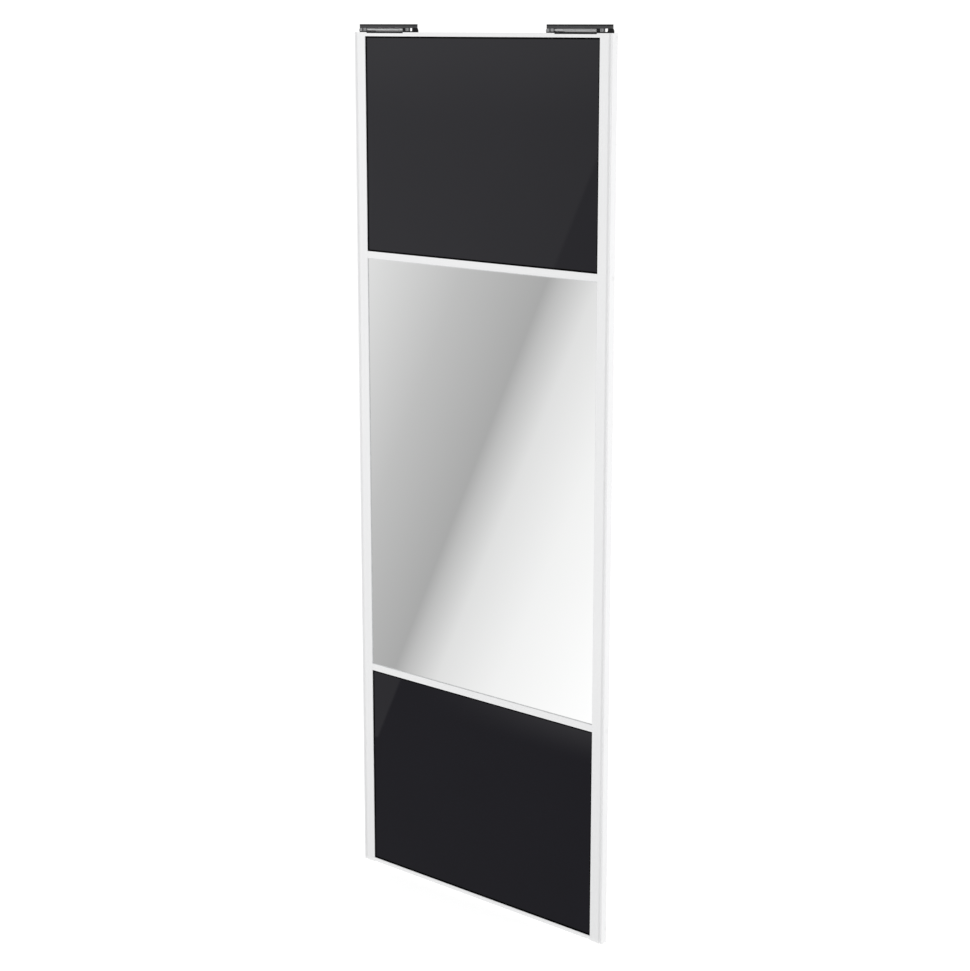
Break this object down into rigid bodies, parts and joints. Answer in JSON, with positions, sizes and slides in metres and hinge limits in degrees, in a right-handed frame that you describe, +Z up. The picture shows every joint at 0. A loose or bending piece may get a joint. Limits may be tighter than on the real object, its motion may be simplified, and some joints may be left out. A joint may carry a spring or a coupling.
{
  "type": "sliding wardrobe door",
  "caption": "Tall sliding wardrobe door leaf: white profile frame holding black glass, mirror and black glass, with soft closers on top and height-adjustable rollers below.",
  "frame": {"origin": "under the middle of the door, level with the bottom of its wheels", "axes": "+X along the door to the right, +Y to the back, +Z up; the front faces -Y"},
  "size_m": [0.922, 0.022, 2.475],
  "materials": {
    "white_lacquer": "satin lacquer",
    "white_plastic": "fine satin",
    "black_glass": "back-painted, polished",
    "mirror": "polished",
    "pale_film": "matt film",
    "black_rubber": "matt",
    "clear_rubber": "satin translucent",
    "zinc_steel": "zinc plated",
    "dark_plastic": "moulded",
    "grey_plastic": "moulded",
    "dark_steel": "satin dark grey",
    "bright_steel": "polished",
    "satin_aluminium": "satin anodised",
    "pale_nylon": "moulded nylon"
  },
  "bodies": {
    "door": {"rail_top": "white_lacquer", "rail_bottom": "white_lacquer", "divider_upper": "white_lacquer", "divider_lower": "white_lacquer", "stile_left": "white_lacquer", "stile_right": "white_lacquer", "glass_bottom": "black_glass", "mirror_middle": "mirror", "glass_top": "black_glass", "gasket_bottom": "black_rubber", "gasket_middle": "clear_rubber", "gasket_top": "black_rubber", "safety_film_bottom": "pale_film", "safety_film_middle": "pale_film", "safety_film_top": "pale_film", "frame_screw_bottom_left": "zinc_steel", "frame_screw_lower_left": "zinc_steel", "frame_screw_upper_left": "zinc_steel", "frame_screw_top_left": "zinc_steel", "stile_plug_left": "white_plastic", "roller_housing_left": "grey_plastic", "roller_screw_left": "zinc_steel", "closer_base_left": "dark_plastic", "closer_foot_left": "grey_plastic", "closer_clip_left": "grey_plastic", "closer_channel_left": "dark_steel", "damper_cylinder_left": "satin_aluminium", "closer_spring_left": "zinc_steel", "closer_screw_catch_end_left": "zinc_steel", "closer_screw_fixed_end_left": "zinc_steel", "frame_screw_bottom_right": "zinc_steel", "frame_screw_lower_right": "zinc_steel", "frame_screw_upper_right": "zinc_steel", "frame_screw_top_right": "zinc_steel", "stile_plug_right": "white_plastic", "roller_housing_right": "grey_plastic", "roller_screw_right": "zinc_steel", "closer_base_right": "dark_plastic", "closer_foot_right": "grey_plastic", "closer_clip_right": "grey_plastic", "closer_channel_right": "dark_steel", "damper_cylinder_right": "satin_aluminium", "closer_spring_right": "zinc_steel", "closer_screw_catch_end_right": "zinc_steel", "closer_screw_fixed_end_right": "zinc_steel"},
    "roller_carrier_left": {"roller_carrier_left": "zinc_steel", "roller_axle_left": "bright_steel"},
    "roller_wheel_left": {"roller_wheel_left": "pale_nylon"},
    "roller_adjuster_left": {"roller_adjuster_left": "zinc_steel"},
    "closer_catch_left": {"closer_catch_left": "grey_plastic", "damper_rod_left": "bright_steel", "damper_sleeve_left": "satin_aluminium"},
    "roller_carrier_right": {"roller_carrier_right": "zinc_steel", "roller_axle_right": "bright_steel"},
    "roller_wheel_right": {"roller_wheel_right": "pale_nylon"},
    "roller_adjuster_right": {"roller_adjuster_right": "zinc_steel"},
    "closer_catch_right": {"closer_catch_right": "grey_plastic", "damper_rod_right": "bright_steel", "damper_sleeve_right": "satin_aluminium"}
  },
  "joints": [
    {"name": "adjuster_turn_left", "type": "hinge", "parent": "door", "child": "roller_adjuster_left", "pos_m": [-0.369, 0.0039, 0.03], "axis": [0, 0, 1], "range_deg": [0, 3600]},
    {"name": "carrier_slide_left", "type": "slide", "parent": "door", "child": "roller_carrier_left", "axis": [0, 0, -1], "range_m": [0, 0.008]},
    {"name": "wheel_spin_left", "type": "hinge", "parent": "roller_carrier_left", "child": "roller_wheel_left", "pos_m": [-0.345, 0.0039, 0.015], "axis": [0, 1, 0], "continuous": true},
    {"name": "catch_slide_left", "type": "slide", "parent": "door", "child": "closer_catch_left", "axis": [1, 0, 0], "range_m": [0, 0.022], "deforming": ["closer_spring_left"]},
    {"name": "adjuster_turn_right", "type": "hinge", "parent": "door", "child": "roller_adjuster_right", "pos_m": [0.369, 0.0039, 0.03], "axis": [0, 0, 1], "range_deg": [0, 3600]},
    {"name": "carrier_slide_right", "type": "slide", "parent": "door", "child": "roller_carrier_right", "axis": [0, 0, -1], "range_m": [0, 0.008]},
    {"name": "wheel_spin_right", "type": "hinge", "parent": "roller_carrier_right", "child": "roller_wheel_right", "pos_m": [0.345, 0.0039, 0.015], "axis": [0, 1, 0], "continuous": true},
    {"name": "catch_slide_right", "type": "slide", "parent": "door", "child": "closer_catch_right", "axis": [1, 0, 0], "range_m": [0, 0.022], "deforming": ["closer_spring_right"]}
  ],
  "couplings": [
    {"joint": "adjuster_turn_left", "follows": "carrier_slide_left", "rad_per_m": 7854},
    {"joint": "adjuster_turn_right", "follows": "carrier_slide_right", "rad_per_m": 7854}
  ]
}
